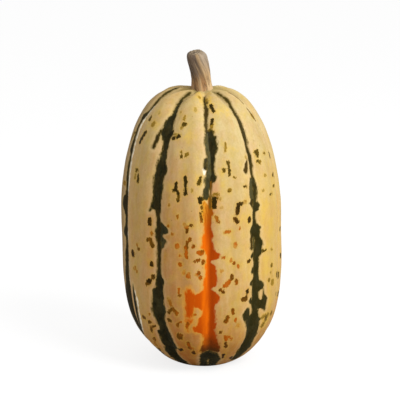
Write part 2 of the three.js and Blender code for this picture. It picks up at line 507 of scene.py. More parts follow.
# Each furrow's stripe is made of strands: (tone, [(height, left edge, right edge), ...]) from the top down.
# Tone 0 is black-green, 1 grey-green, -1 dark brown and -2 a warmer brown; the grey-green tones are partly
# the stripes' own colour and partly painted sheen on the furrows' lit walls.
stripeStrands = {
    0: [
        (-0.5, [(168.6, -0.1, 0.7), (166, -0.2, 0.9), (165, -0.3, 1.1), (163.5, -0.5, 1), (162, -0.6, 1.4),
            (161.2, -0.8, 2), (160.4, -0.9, 2), (159.5, -1.1, 1.3), (157.5, -1.4, 1), (156.5, -1.5, 0.6),
            (154.5, -1.6, 0.2), (152, -1.9, 0.1), (149, -1.9, 0.1), (147.4, -1.9, 0.6)]),
        (0, [(148.6, -1.4, 2.2), (147.6, -1.2, 3), (146, -1, 3.6), (145, -0.8, 4.4), (143, -0.7, 4.3),
            (141, -0.6, 4.5), (139, -0.6, 4.6), (137.5, -0.6, 4.3), (136, -0.4, 3.7), (134, -0.4, 3.2),
            (132, -0.3, 2.9), (129, -0.2, 2.4), (126, -0.1, 2.3), (124.5, 0, 2.8), (123, 0.1, 3.6),
            (121, 0.2, 3.6), (120.2, 0.6, 3.2), (119.4, 0.9, 2.6)]),
        (0.8, [(148, -2, 0.9), (145, -2.5, 0.5), (143, -2.8, 0.4), (140, -2.9, 0.4), (137.5, -2.5, 0.5),
            (135, -1.9, 0.7), (133.2, -2, 0.8), (130, -2, 0.9), (126, -2, 1.1), (123.6, -2.4, 1.2),
            (121.4, -2.8, 1)]),
        (0.25, [(133.4, -2.4, -1), (132.4, -3.7, -1.4), (130, -3.8, -1.6), (127.6, -4.1, -1.6),
            (126.4, -3.2, -1.4)]),
        (0.45, [(122.6, -2.4, 0.6), (121, -3.4, 0.6), (118, -3.1, 0.3), (116.5, -3.4, 0.2), (115, -4, 0.1),
            (112, -4.3, -0.1), (110.6, -3.9, -0.6), (109.6, -3.2, -1.2)]),
        (-2, [(121.4, -0.1, 1.1), (118, -0.1, 1.2), (113, -0.1, 1), (108, 0, 0.9), (104, 0.1, 0.8)]),
        (-0.4, [(13, -4, 5.2), (12.2, -4.8, 6), (11.4, -5, 6.2)]),
        (0, [(12, -4.6, 5.8), (10, -5.4, 6.6), (8.4, -5.2, 7.6), (6.6, -5, 7.2)]),
        (0, [(7.4, -5, 0), (5.4, -4.8, -0.2), (3.6, -4.4, -0.1), (1, -4.2, 0.4)]),
        (0, [(7.4, 0.1, 7.4), (5.4, 0.45, 6.4), (3.6, 0.3, 5.4), (1, -0.2, 5)]),
    ],
    1: [
        (-0.35, [(172.5, 0.8, 1.2), (169.5, 1.8, 2.4), (168.5, 2, 2.8), (166, 2.3, 3.3), (164, 2, 3.7),
            (162.5, 1.7, 3.3), (161, 1.3, 2.7), (159, 0.9, 2.4), (156, 0.6, 2.5), (153.5, 0.8, 2.7),
            (150, 0.4, 2.7), (146, 0, 2.6), (143, -0.2, 2.6), (139, -0.4, 2.2), (137, -0.2, 1.9),
            (134.5, -0.5, 2.2), (133, 0.1, 2.5), (130, 0.3, 2.8), (125, 0.3, 2.6), (121, 0.3, 2.2),
            (118, 0.4, 2.5), (115, 1.2, 2.8)]),
        (-0.15, [(121, 0.9, 2.2), (118.8, 0.4, 3), (117, 0.2, 3.3), (115, 0.6, 3.7), (111, 0.7, 3.8),
            (108, 0.9, 3.4), (106, 0.7, 3.2), (104.6, 0.4, 4), (103.5, 0.1, 5.2), (102.4, -0.4, 5),
            (101.5, 0.2, 4.2), (100.2, 0.6, 4.8), (99.4, 0.3, 2.3), (96, 0.3, 2), (94, 0.1, 2.4),
            (92, -0.2, 3.6), (90.8, -0.5, 4.8), (88, 0.4, 4)]),
        (0.7, [(119.8, -0.8, 1.4), (117, -2.2, 1.6), (113, -2.6, 1.6), (110, -2.9, 1.6), (108.6, -2.2, 1.6),
            (107, -0.9, 1.6)]),
        (-0.4, [(107.4, -0.8, 1.6), (106.4, -1.8, 1.2), (105.4, -3.4, 0.6), (104.6, -2.6, 0.6),
            (103.4, -1.2, 0.5), (102.4, -0.6, 0.6)]),
        (0.05, [(92.6, 0.4, 3.4), (91, -0.6, 4.6), (90, -1.4, 6.4), (89, -2, 5.8), (88, -2.2, 4.9),
            (87, -2.2, 5.8), (85.6, -1.9, 5.2), (84.6, 1.4, 5), (82.5, 1.8, 6.2), (81, 1.9, 7.3),
            (79, 1.9, 7.5), (77.6, 1.7, 6.9), (76, 1.2, 6.6), (74.6, 0.9, 6.9), (73.6, 0.8, 6.2),
            (72.4, 1, 4.7), (70, 1.3, 4.3), (66.5, 1, 4.1), (62, 0.8, 4.2), (59.5, 0.6, 4.4),
            (58.2, -0.2, 4.6), (57, -0.3, 5.8), (56.3, -0.3, 7.4), (55, -0.4, 8.1), (52.2, -0.3, 7.9),
            (51.4, -0.1, 5), (49, 0, 4.4), (47, -0.2, 4.6), (45.2, -0.5, 5.6), (44.6, -0.6, 11.2),
            (42, 0.3, 10.8), (40.8, 1.1, 10.7), (39.4, 1.6, 4.4)]),
        (0.1, [(43, 1, 5), (41, 1.1, 4.4), (39, 1.2, 4.9), (37, 0.7, 5.5), (35.6, -0.4, 5.8),
            (34.6, -2.4, 5.9), (33.4, -4.6, 6.8), (32.4, -4.2, 7.8), (31, -3.6, 6.6), (29, -2.7, 7.2),
            (26, -1.3, 7.6), (22, -0.3, 8), (19, 0.2, 7), (16.5, 0.3, 6.6), (14, 0.2, 7.4),
            (12.5, 0.8, 7.8), (10.5, 1.2, 6.8), (8.6, 1, 6.4), (6.5, 0.6, 5.8), (3.5, 0.2, 4.6)]),
        (-0.5, [(85.8, -1.9, 0.4), (84.2, -2.6, 0.2), (83, -2.4, 0.3), (81, -1.6, 0.6), (79, -2, 0.8),
            (77.6, -2.2, 0.6), (77, -1.4, 0.2)]),
        (1, [(85, 0.3, 1.7), (79, 0.6, 1.8), (77, 0.9, 1.7)]),
        (-0.2, [(74.8, -0.4, 1.2), (74, -1.4, 1.2), (73, -2.1, 1), (72.2, -1, 1.2)]),
        (-0.2, [(66.3, -0.4, 1.2), (65, -0.9, 1.2), (63.6, -1.8, 1.2), (62.6, -0.8, 1.2)]),
        (-0.2, [(59, -0.4, 0.6), (58.3, -1.8, 0.4), (57, -3.2, 0.2), (55.8, -2.4, 0), (54.8, -0.8, 0)]),
        (-0.1, [(47.8, -1.4, 0.4), (47, -3, 0.2), (45.6, -3.2, 0), (44.6, -2.4, 0), (43.6, -0.8, 0.4)]),
        (-0.1, [(51.6, 7.4, 8.1), (49, 7.3, 8.4), (47, 7.2, 10), (45.4, 6.8, 11.2), (43, 6, 11),
            (40.8, 6, 10.8), (39, 8.2, 10.6), (37.4, 9.7, 10.3)]),
        (-0.1, [(42.2, -4.8, -2.8), (41, -6.5, -2.2), (39, -7.4, -1.8), (37.4, -7.6, -1.4), (36, -7, -0.4),
            (34.8, -6, 0.6), (33.6, -4.8, 1)]),
        (-0.7, [(130.3, -2, -0.9), (128.5, -4.1, -1.6), (126, -5.2, -2.1), (124.6, -6.6, -2.4),
            (123.4, -5.8, -2.6), (122.7, -4.8, -3)]),
        (-1.9, [(166, 7.4, 8), (163, 9.4, 10), (159.6, 10.5, 11)]),
        (-1.9, [(157, 11.4, 12), (154, 12.8, 13.6), (151.5, 14.2, 15.2), (149.6, 15.2, 15.8)]),
    ],
    -1: [
        (0, [(171, -2.3, -1.8), (168.5, -2.5, -1.4), (166, -2.1, -1), (165, -1.9, -0.4), (163, -1.7, 0.2),
            (160, -1.7, 0.6), (157.5, -1.6, 1), (156.2, -2, 1), (155, -3, 0.8), (153, -3.6, 1),
            (151, -4, 1.3), (149, -4.4, 1.6), (147.5, -4.8, 2.3), (146.4, -5.4, 2.8), (145.4, -5.2, 2),
            (144.4, -4, 1.6), (143, -3.4, 0.8), (140, -2.7, 0.4), (136, -2.7, 0.5), (133, -3, 0.6),
            (130.5, -3.7, 0.3), (128.6, -4, 1), (127.4, -4.2, 2), (126.2, -4.3, 2.6), (124, -4.7, 2.1),
            (122.8, -4.8, 1.6), (121.6, -4.9, 0.6), (118, -4.9, 0.3), (116.4, -4.8, 0.8),
            (114.8, -4.8, 1.2), (113, -4.8, 0.8), (110.5, -4.4, 0.2), (107, -4.6, 0.2),
            (104.8, -4.9, 0.4), (103, -5.4, 0.5), (102.2, -4, 0.5), (101.4, -2.7, 0.4)]),
        (-0.3, [(102.4, -4, 0.5), (101.4, -2.7, 0.4), (98, -2.4, 0.4), (95, -2.2, 0.9), (92.6, -2.5, 1.2),
            (90, -2.6, 1), (87.4, -2.7, 0.8), (84, -2.6, 0.9), (81, -1.9, 0.8), (78.8, -2, 0.8),
            (75, -2.2, 0.5), (71, -2, 0.3), (67, -1.9, 0.1), (65, -2.5, 0.1), (63.5, -2.8, 0.1)]),
        (0.35, [(95.4, 0.2, 0.9), (94, 0.2, 2.4), (92.6, 0.3, 4.6), (91.5, 0.4, 5.8), (90, 0.6, 6.4),
            (88.8, 0.6, 6.3), (88.1, 0.4, 4.4), (87.4, 0.4, 2.5)]),
        (0.6, [(87.8, 0.2, 2.4), (86, 0.3, 2.3), (84.9, 0.3, 4.6), (84, 0.3, 5.1), (82.5, 0.4, 4.5),
            (81, 0.4, 3.7), (79.6, 0.3, 3), (78.8, 0.2, 0.9)]),
        (0, [(65, -2.5, 0.1), (62.5, -3, 0.2), (61.3, -3.2, 1.3), (60.2, -3.1, 2.7), (58.6, -3.1, 2.4),
            (57, -3.3, 1.7), (55, -3.4, 1.5), (54.2, -4.4, 1.5), (53.2, -5.5, 1.6), (50, -5.7, 1.7),
            (47, -6, 1.2), (44.5, -6.2, 1.1), (42.5, -6.3, 2.4), (41, -6.6, 2.7), (39.6, -6.4, 1.8),
            (38, -6.3, 0.8), (35.5, -5.8, 0.4), (34, -5, 0.3), (31, -4.8, 0.8), (30, -3.9, 1.4),
            (27.6, -3.7, 2.4), (26.8, -5.6, 2.6), (25.4, -5, 2.8), (21, -4.9, 3.1), (17, -5.2, 4),
            (15.4, -5, 3.9), (14, -5, 2.4), (12, -5.9, 1), (9.5, -6.3, -0.1), (7, -5.4, 1),
            (5, -4.6, 3.4), (1, -3.5, 2.2)]),
        (-0.3, [(147.6, -5.6, -3.6), (145.6, -6.2, -4), (144.2, -6.8, -4.8), (142.8, -7, -5.2),
            (141.2, -7.3, -5.4), (139.6, -7.9, -6), (138, -8.3, -6.2), (136.4, -8.3, -6.8)]),
        (-0.1, [(102.6, -5.6, -4.2), (101.4, -6.2, -4.8), (100.4, -6.3, -5.6)]),
    ],
    -2: [
        (-0.2, [(171, -9.6, -8.4), (167.5, -7.8, -6.4), (166, -6.8, -5.4), (163, -5.6, -4.3),
            (160, -5, -3.8), (156, -4.8, -3.8), (154, -5.6, -4), (152.4, -7.4, -4.3), (150, -7.2, -5),
            (148, -6.9, -5.4), (146, -7.6, -5.8), (142, -6.9, -5.4), (138, -6.9, -5.3),
            (135, -7.4, -5.2), (131.5, -8, -5.2), (129, -6.9, -5.2), (124, -6.9, -4.9),
            (118, -6.6, -4.6), (113, -6, -4.1), (108, -5.6, -3.4), (104.5, -6, -2.9), (102, -8.4, -2.6),
            (97, -8.4, -2.5), (95, -6.4, -2.7), (92, -5.4, -3), (86, -5.8, -3.4), (81, -7.8, -3.6),
            (78, -5.8, -3.6), (73, -5.6, -3.2), (70, -6.9, -3), (64, -6.8, -3.4), (57, -7.2, -3.6),
            (51, -8.4, -3.4), (47, -10, -3.2), (43, -12, -3), (36, -12, -2.7), (30, -11, -2.7),
            (25, -10, -4), (20, -9, -4.8), (16, -8, -5.4)]),
        (-0.1, [(53, 6.4, 7), (50, 5.6, 7.4), (45, 5.3, 8.2), (40, 5.5, 8.8), (35, 5.2, 8.4),
            (30, 4.6, 7.6), (26, 3.2, 6.8), (22, 0.6, 4.2), (18, -2.4, 1), (15, -4.4, -1.6)]),
        (-0.8, [(12, 1, 6), (10, -1, 8), (7, -3, 7), (5, -4, 4)]),
    ],
    -3: [
        (0.2, [(169, -1.6, 0.6), (166, -1.8, 1.2), (160, -1.8, 1.6), (152, -1, 1.4), (146, -0.4, 1)]),
    ],
}

# The orange flame along the front furrow, the pale painted highlight lines and the yellow strips: same
# form, without a tone.
flameStrands = {
    0: [
        [(108.6, -3.6, -2.6), (107, -4.2, -1), (104.4, -4, 1.6), (103, -4.6, 2.6), (101, -4.4, 2.8),
         (99.5, -4, 2.4), (97.4, -3.2, 1.9), (95, -2.8, 1.6), (92, -2.7, 1.8), (90, -2.6, 2.4),
         (88.3, -3.2, 3.6), (86.6, -4.2, 2.7), (85, -3.5, 2.4), (82.4, -4.2, 3), (81, -5.2, 3.4),
         (79.6, -3.6, 3.3), (78.6, -2.4, 4.4), (77.6, -1.8, 6.4), (75, -1.7, 6.2), (74.2, -1.8, 4.6),
         (73.4, -2.2, 1.8), (71.6, -2.3, 1.8), (70.6, -2.3, 3.8), (68, -2.3, 4.6), (64.5, -2.4, 4.7),
         (63, -3.4, 4.8), (59, -3.6, 4.9), (57.8, -3.5, 3.8), (57, -3.4, 1.7), (55.2, -4.2, 1.4),
         (54.4, -6, 3.6), (53, -9.2, 5), (51.5, -10, 6.2), (49, -10, 5.9), (47.4, -10, 4.6),
         (46, -9.8, 3.6), (44.6, -6.8, 3.4), (43.2, -4.7, 3.5), (41, -4.3, 3.7), (39.6, -4.6, 3.8),
         (38.8, -6.6, 3.8), (36, -7.4, 3.7), (33.8, -7.6, 3.6), (32.4, -9.4, 3.6), (30.8, -10.2, 3.5),
         (29.2, -8, 3.4), (27.6, -4.8, 3.5), (25.6, -3.9, 4.2), (22, -3.9, 5.1), (19.6, -4.4, 5.9),
         (18, -5.4, 7.2), (15.5, -5.8, 6.6), (13, -5, 5.6)],
        [(57.4, -13.2, -11.6), (56, -14, -10.2), (54.5, -14.2, -9.8), (52, -14.4, -8), (48, -14.2, -8),
         (45.6, -14.4, -9.2), (44, -14.6, -9.6), (42, -13.6, -9.7), (40, -13.4, -10.2),
         (38.6, -12.6, -10.8)],
        [(43.4, -13.6, -10.4), (42, -14.2, -9.6), (40.4, -14.4, -9.4), (38.8, -13.8, -10.2)],
        [(37.6, -14, -10.2), (35.8, -14.2, -9.8), (34, -14, -11.6), (31.6, -13.9, -12.2),
         (29.4, -13.6, -12.6)],
        [(33, -9.8, -7.2), (31, -10.4, -6.6), (29.2, -9, -6)],
        [(112.4, -0.5, 0.9), (110, -0.8, 1.8), (107, -1, 3), (104, -1, 2.6)],
    ],
}
glintStrands = {
    0: [
        [(127.6, -4.4, -3), (126.4, -4.6, -2.4), (125, -4.2, -2.4), (123.8, -3.6, -2.8)],
    ],
    -2: [
        [(160, -3.9, -3.3), (150, -5.1, -4), (138, -5.2, -4.2), (126, -4.9, -3.8), (112, -4, -2.8),
         (98, -2.5, -1.5), (84, -3.5, -2.5), (70, -3, -1.9), (58, -3.6, -2.3), (50, -3.3, -1.7),
         (42, -3, -1.2), (35, -2.8, -1), (28, -2.8, -1), (22, -4.4, -3.2)],
        [(50, 8.2, 8.8), (43, 9.2, 10.2), (36, 9, 10), (30, 8, 9.2), (25, 6.2, 7.6), (21, 3.8, 5)],
    ],
}
yellowStrands = {
    0: [
        [(169, -3.6, 3.4), (166, -3.2, 3.2), (164, -2.6, 4), (162, -1, 4.6), (160.5, 1, 3.4),
         (158, 1.4, 2.6)],
        [(109, -4.6, -1.2), (105, -4.4, 1.6), (100, -4.2, 3.4), (97, -3.4, 2)],
    ],
}

# Flecks, by the furrow they are measured from, are (sideways place, height, length, width, tilt, tone).
# Tone 0 is near black, 0.5 brown and 1 orange-brown. Tilts are in degrees, to the right going up.
flecks = {
    0: [
        (3.9, 160.4, 7.2, 1.4, -12, 0.05), (-2.6, 166.4, 3, 1, 0, 0.75),
        (1.7, 164.4, 3.6, 0.9, -8, 0.35), (2.6, 153.3, 4.4, 1.5, 12, 0.1), (1.2, 149, 2.2, 1.2, 0, 0.6),
        (2.7, 148, 2, 1.2, 0, 0.55), (2.2, 151, 2.4, 1.6, 0, 0.75), (1.5, 165.5, 4.5, 1.5, -8, 0.7),
        (-6.3, 159.5, 3.2, 1.2, 0, 0.9), (-14, 151.4, 1.6, 2, 0, 0.4), (-14, 134.6, 2.4, 1.1, 10, 0.45),
        (9.2, 137.8, 3.4, 1.1, 5, 0.72), (9.3, 140.2, 1.6, 0.8, 0, 0.7),
        (10.9, 129.2, 5.2, 1.4, -12, 0.35), (11.4, 124.8, 4.4, 1.4, 0, 0.35), (8, 126, 2.2, 2, -20, 0.4),
        (14.6, 121.4, 1.8, 1.2, 80, 0.5), (-14.2, 117.6, 11.5, 1.7, -2, 0.08),
        (-6.1, 120.6, 5.4, 1.5, 12, 0.4), (-5.5, 109.4, 4.4, 2.1, -8, 0.12),
        (-2.8, 110.2, 3.4, 1.4, 80, 0.3), (-10.5, 115, 1.8, 0.9, 0, 0.85), (2.9, 107.6, 7, 2.3, -3, 0.1),
        (3.4, 112.8, 3.2, 1.2, 80, 0.75), (4.6, 111.4, 2.6, 1.3, 0, 0.75), (2, 112, 1.6, 0.9, 0, 0.8),
        (4.9, 98, 5, 1.7, -26, 0.7), (7.2, 105, 1.6, 1.2, 0, 0.9), (6.3, 109.5, 1.2, 0.8, 0, 0.95),
        (11.8, 114.4, 2.4, 1.7, 90, 0.6), (11.6, 90.3, 4, 1.6, 85, 0.85), (9.2, 90, 1.4, 0.9, 0, 0.95),
        (-4.4, 105, 2.2, 1.4, 0, 0.5), (-4.9, 101.8, 2.6, 1.2, 0, 0.35), (-4.4, 98, 3.6, 1.2, 0, 0.6),
        (-10.6, 94.6, 2.6, 1.4, 50, 0.5), (-12.5, 91.3, 2.6, 1.8, 0, 0.35),
        (-12.7, 93.8, 3.4, 1.1, 60, 0.75), (-14, 95, 2, 1, -40, 0.85), (-11.2, 86.2, 2.8, 1.5, 30, 0.6),
        (-12.6, 82.6, 5, 1.4, 0, 0.55), (-8.7, 82.3, 2.2, 2, 0, 0.5), (-13.3, 79.2, 6, 1.4, 0, 0.62),
        (-13, 75.9, 1.8, 1.6, 0, 0.55), (-4.9, 78.4, 4.4, 2.6, 85, 0.62),
        (-7.1, 73.6, 3.6, 1.5, 75, 0.4), (-3.6, 72.6, 2.6, 1.7, 10, 0.55),
        (-6.2, 66.6, 3.2, 1.4, 10, 0.5), (-12.2, 64.8, 3.4, 2.2, 10, 0.75),
        (-14.6, 66.5, 2.6, 1.6, 0, 0.95), (-5.3, 63.2, 2.2, 1.3, 0, 0.65), (-7.5, 65.2, 2, 1, 90, 0.9),
        (13.4, 63, 3.4, 1.9, 0, 0.35), (10.6, 59.4, 6, 2.1, 48, 0.65), (6.6, 55.7, 1.9, 1.5, 0, 0.55),
        (8.4, 54.5, 2, 1.6, 90, 0.4), (8.6, 75.2, 2, 1.2, 90, 0.8), (13.4, 73.2, 2.8, 1.2, 15, 0.75),
        (7.2, 67.2, 2.2, 1, 90, 0.9), (14.4, 41.6, 4, 1.6, -10, 0.5), (10.4, 37, 5.2, 2.1, 22, 0.5),
        (6.7, 28.8, 2.4, 2.1, 0, 0.45), (9.8, 24.2, 4.6, 1.7, -8, 0.7), (10, 19.6, 5.2, 1.6, -8, 0.25),
        (13.5, 23.6, 2.6, 1.4, 0, 0.6), (11.5, 25, 3.5, 1.2, 85, 0.8), (9, 10.4, 6, 1.5, 4, 0.2),
        (-13.2, 33.6, 4.5, 1.3, 10, 0.65), (-12, 19.4, 6.4, 1.6, -16, 0.58),
        (-9.4, 14.2, 2.6, 1.9, 0, 0.4), (-9.9, 17.6, 2, 1, 0, 0.8), (-8.7, 40.6, 2, 1.2, 60, 0.8),
    ],
    1: [
        (-5.7, 115.5, 3.2, 1.3, 100, 0.4), (-10.7, 105.8, 3.8, 2, 85, 0.25),
        (-11.9, 102.6, 5.2, 2.2, 8, 0.15), (-12.9, 96.6, 4.6, 2.4, 135, 0.3),
        (-3.1, 95.7, 3.6, 2.6, 15, 0.2), (-6.5, 106.6, 2.2, 1.4, 90, 0.95),
        (-10.6, 91.5, 1.4, 1.2, 0, 0.8), (-13.2, 82, 3.6, 1.7, 0, 0.85),
        (6.9, 132.6, 4.4, 2.2, 10, 0.35), (5.6, 133.6, 1.6, 1.4, 0, 0.5),
        (7.2, 127.8, 3.6, 1.5, 120, 0.5), (13.3, 131.7, 2.4, 1.2, 100, 0.6), (-2.4, 132, 2, 1.6, 0, 0.9),
        (11, 119.2, 2.2, 1.4, 90, 0.75), (8, 111, 2, 1, 90, 0.9), (16.2, 107.3, 3.4, 1.3, 95, 0.5),
        (-3.5, 71, 3.4, 1.6, 80, 0.3), (-4.9, 52.8, 2.6, 2, 0, 0.2), (-7, 48.6, 4.6, 2.8, 85, 0.35),
        (-5.6, 50.6, 1.6, 1.2, 0, 0.4), (-13, 60, 2.8, 1.9, 0, 0.6), (-11.8, 69.2, 2.8, 1.2, 0, 0.85),
        (-14.4, 71.4, 1.4, 1.2, 0, 0.6), (8.1, 75.2, 3.4, 1.5, 88, 0.35), (15.8, 74.4, 3, 1, 100, 0.7),
        (16, 64.8, 2.6, 2.2, 90, 0.6), (14.2, 60.5, 1.6, 1.2, 0, 0.85), (12.5, 56.5, 2.4, 1.8, 90, 0.6),
        (16.5, 54, 3.6, 3, 0, 0.75), (8.6, 33, 3.6, 1.3, 95, 0.7), (12.4, 31.8, 4.4, 2, -25, 0.62),
        (10.6, 28, 3.6, 2.4, 30, 0.66), (10.6, 34.6, 3.4, 1.1, 100, 0.8), (14.2, 33.5, 3, 2.2, 0, 0.7),
        (-12.2, 36, 2.8, 1.3, 0, 0.7), (-9.8, 32.4, 2.6, 1.8, 0, 0.95), (0.9, 8.8, 4.2, 1.7, -20, 0.25),
        (-2.2, 6.4, 5.6, 1.9, -42, 0.2),
    ],
    2: [
        (-7.5, 129, 3.8, 2, 10, 0.3), (-3, 127.4, 3.4, 1.9, -10, 0.25), (-9, 117.8, 3.6, 1.5, 60, 0.5),
        (-4.4, 116, 3.8, 1.4, 75, 0.45), (-10, 111.4, 2.6, 1.6, 95, 0.45), (-2.4, 109, 3, 1.6, 40, 0.45),
        (5.2, 81.5, 2.2, 2, 0, 0.3), (5, 65, 3, 2.2, 0, 0.3), (-8.5, 57.2, 3.6, 3, 0, 0.55),
        (-3.4, 55, 3.4, 2.2, 60, 0.5), (2.2, 53.6, 4.4, 1.4, -10, 0.5), (-7, 44.6, 4, 1.6, 120, 0.45),
        (-5.5, 84, 1.6, 1.2, 0, 0.8), (5, 41, 3, 1.8, 0, 0.3), (1.4, 28.6, 3, 2, 60, 0.6),
        (-11.2, 33.6, 3, 2.2, 0, 0.6), (-9, 152.4, 3, 2.4, 0, 0.75), (0, 152.6, 4, 2, 0, 0.75),
    ],
    -1: [
        (3.3, 143.8, 2.8, 1.8, 70, 0.25), (6, 144.6, 3.2, 1.8, 50, 0.15), (4.2, 145.8, 3, 1.4, 120, 0.9),
        (8.4, 151.4, 2.2, 1.8, 100, 0.3), (7, 155, 3.4, 1, -8, 0.85), (7, 149.5, 1.6, 1.1, 0, 0.75),
        (9.4, 136.6, 1.2, 1, 0, 0.5), (9.8, 134.2, 2.8, 1.2, -15, 0.35), (12.8, 134.8, 2.6, 1, 10, 0.5),
        (3.4, 158.3, 1.4, 1, 0, 0.9), (-10.6, 149.6, 3.6, 1.7, 28, 0.85),
        (-14.2, 152, 3.2, 1.4, 15, 0.45), (-8.6, 156, 2.6, 0.9, 0, 0.9), (-5.8, 94.2, 5, 1.6, 7, 0.15),
        (-4.7, 87.6, 2.8, 1.2, 0, 0.75), (-6.3, 83.4, 3.4, 1.8, 65, 0.4), (-4.9, 81, 4.2, 1.9, -12, 0.4),
        (-5.2, 69, 2.8, 1.8, 0, 0.2), (-4.7, 61, 3.6, 1.6, 12, 0.35), (-7.2, 58, 3.4, 2.4, 35, 0.15),
        (-8.3, 56.4, 3, 1.6, 75, 0.45), (6.3, 93.4, 1.6, 1, 60, 0.8), (9, 88.8, 1.6, 1, 90, 0.9),
        (9, 116.8, 5.2, 1.6, 2, 0.1), (9, 114.6, 3, 1.5, 90, 0.12), (10.8, 113, 2.2, 1.6, -40, 0.12),
        (11.3, 110.8, 4.4, 1.4, -5, 0.5), (11.2, 108.8, 1.8, 1.6, 0, 0.25), (6.3, 105.6, 1, 1, 0, 0.8),
        (11.7, 99.4, 2.4, 0.9, 0, 0.6), (11.4, 82, 3, 2.2, 0, 0.75), (12.8, 71.2, 2.4, 1.7, 0, 0.7),
        (13.2, 76.4, 1.6, 1.4, 0, 0.85), (11.9, 54.8, 4.2, 1, 0, 0.7), (12.4, 52.4, 1.6, 1.4, 90, 0.55),
        (5.6, 42.2, 3.6, 1.5, 55, 0.5), (9, 42, 3.4, 1.5, -50, 0.5), (7.2, 43.4, 2.4, 1.4, 90, 0.5),
        (5.5, 47.6, 5.4, 1.6, -20, 0.85), (4.4, 40.6, 2.4, 1.6, 30, 0.4), (4.2, 35.3, 3, 2.2, 90, 0.35),
        (9.3, 40.6, 3, 1.2, 0, 0.6), (9.2, 33.5, 2.6, 1.2, 10, 0.55), (11, 35.5, 1.8, 1, 80, 0.7),
        (9.2, 25.8, 5, 2.6, 25, 0.4), (12.8, 19.4, 6.6, 1.4, 8, 0.4), (13.2, 13.8, 2.8, 1.6, 0, 0.3),
        (6.1, 15.3, 4.4, 1.9, 48, 0.12), (-9.6, 31.6, 2.8, 1.8, 60, 0.4), (-9, 36.8, 1.6, 1.2, 0, 0.7),
        (-9.1, 27.2, 5.2, 1.4, 5, 0.45), (-13.8, 34, 3.2, 2, 80, 0.5), (-6.6, 29.4, 3, 1, 50, 0.4),
        (-9.8, 19.8, 3.2, 1.8, 10, 0.5), (-10.8, 16, 4.5, 1.8, 8, 0.75), (-10.6, 11.4, 3.6, 1.8, 10, 0.4),
    ],
    -2: [
        (11.3, 117.8, 5.6, 1.4, -8, 0.3), (8.8, 122.4, 2.4, 2, 90, 0.5), (8.7, 118.5, 3, 1.6, 0, 0.9),
        (8.8, 72.4, 4.2, 2.8, 0, 0.3), (13, 78.4, 1.4, 1.2, 0, 0.85), (14.7, 76.3, 2, 1.6, 90, 0.5),
        (6.5, 141.4, 8.6, 1.8, 15, 0.25), (10, 63.5, 2.4, 2, 90, 0.85), (11.8, 62, 1.4, 1, 0, 0.8),
        (-8, 111, 3, 2.4, 90, 0.6),
    ],
}

# Yellow patches, also by furrow, are (sideways place, height, length, width, tilt).
yellowPatches = {
    0: [
        (-12, 144, 7, 4, 0), (6.6, 157, 6, 3, 0), (3.2, 150.5, 5, 2.4, 0), (-6.4, 121.5, 6, 4.4, 0),
        (7.6, 116, 7, 3, 0), (6.8, 124, 4.5, 3, 30), (11.8, 73, 5, 4.6, 0), (12.5, 137, 5, 4, 90),
        (-10, 94.6, 4.5, 4, 80), (11.8, 90.2, 5, 3.4, 90),
    ],
    1: [
        (-9.2, 96.8, 5, 4.4, 0), (-4, 96, 6, 5, 0), (12, 31, 11, 7, 0), (14, 42, 9, 5, 0),
        (9.6, 97, 16, 6, 0), (13.5, 88, 12, 6, 0), (-6, 158, 6, 6, 0), (10, 66, 12, 6, 0),
        (11, 78, 8, 4, 0), (13, 48, 8, 4, 0),
    ],
    -1: [
        (-9.6, 149.6, 5, 4.6, 0), (12, 145, 7, 4, 0), (-2.6, 158, 5, 1.6, 0), (6.2, 116, 4.5, 3, 0),
    ],
    2: [
        (-6, 114, 9, 4, 60),
    ],
}


def readValues(mesh, name):
    values = np.empty(len(mesh.vertices), dtype=np.float32)
    mesh.attributes[name].data.foreach_get("value", values)
    return values.astype(float)


def writeValues(mesh, name, values):
    layer = mesh.attributes.new(name, "FLOAT", "POINT")
    layer.data.foreach_set("value", np.asarray(values, dtype=np.float32))


def unrollSkin(fruit, shape):
    points = np.array(fruitOutline(shape))[:, [0, 2]]
    steps = np.hypot(*np.diff(points, axis=0).T)
    lengths = np.concatenate([[0], np.cumsum(steps)])
    arc = readValues(fruit.data, "along") * lengths[-1]
    sideEnd = int(np.argmax(points[:, 1]))
    return {"arc": arc, "radius": np.interp(arc, lengths, points[:, 0]),
            "rib": readValues(fruit.data, "rib"), "count": shape["ribCount"],
            "heights": points[2:sideEnd + 1, 1], "arcs": lengths[2:sideEnd + 1]}


def arcAt(skin, height):
    return np.interp(height, skin["heights"], skin["arcs"]) + np.maximum(height - skin["heights"][-1], 0)


def asideOf(skin, furrow):
    half = skin["count"] / 2
    turns = (skin["rib"] - furrow + half) % skin["count"] - half
    return turns * skin["radius"] * math.tau / skin["count"] - stripeSlip.get(furrow, 0)


def strandDistance(skin, furrow, stations):
    heights, lefts, rights = np.array(stations[::-1], dtype=float).T
    arcs = arcAt(skin, heights)
    aside = asideOf(skin, furrow)
    left = np.interp(skin["arc"], arcs, lefts)
    right = np.interp(skin["arc"], arcs, rights)
    across = np.maximum(left - aside, aside - right)
    beyond = np.maximum(arcs[0] - skin["arc"], skin["arc"] - arcs[-1])
    outside = np.hypot(np.maximum(across, 0), np.maximum(beyond, 0))
    return outside + np.minimum(np.maximum(across, beyond), 0), (right - left) / 2


def fleckDistance(skin, furrow, sideways, height, length, width, tilt):
    aside = asideOf(skin, furrow) - sideways
    up = skin["arc"] - arcAt(skin, height)
    lean = math.radians(tilt)
    along = up * math.cos(lean) + aside * math.sin(lean)
    side = aside * math.cos(lean) - up * math.sin(lean)
    reach = max(length - width, 0) / 2
    return np.hypot(side, np.maximum(np.abs(along) - reach, 0)) - width * 0.56


def byFurrow(groups):
    return [(furrow, mark) for furrow, marks in groups.items() for mark in marks]


def strandReach(skin, groups):
    return [strandDistance(skin, furrow, stations)[0] for furrow, stations in byFurrow(groups)]


def nearest(distances, tones):
    distances = np.array(distances)
    pick = np.argmin(distances, axis=0)
    return distances.min(axis=0), np.array(tones)[pick], pick
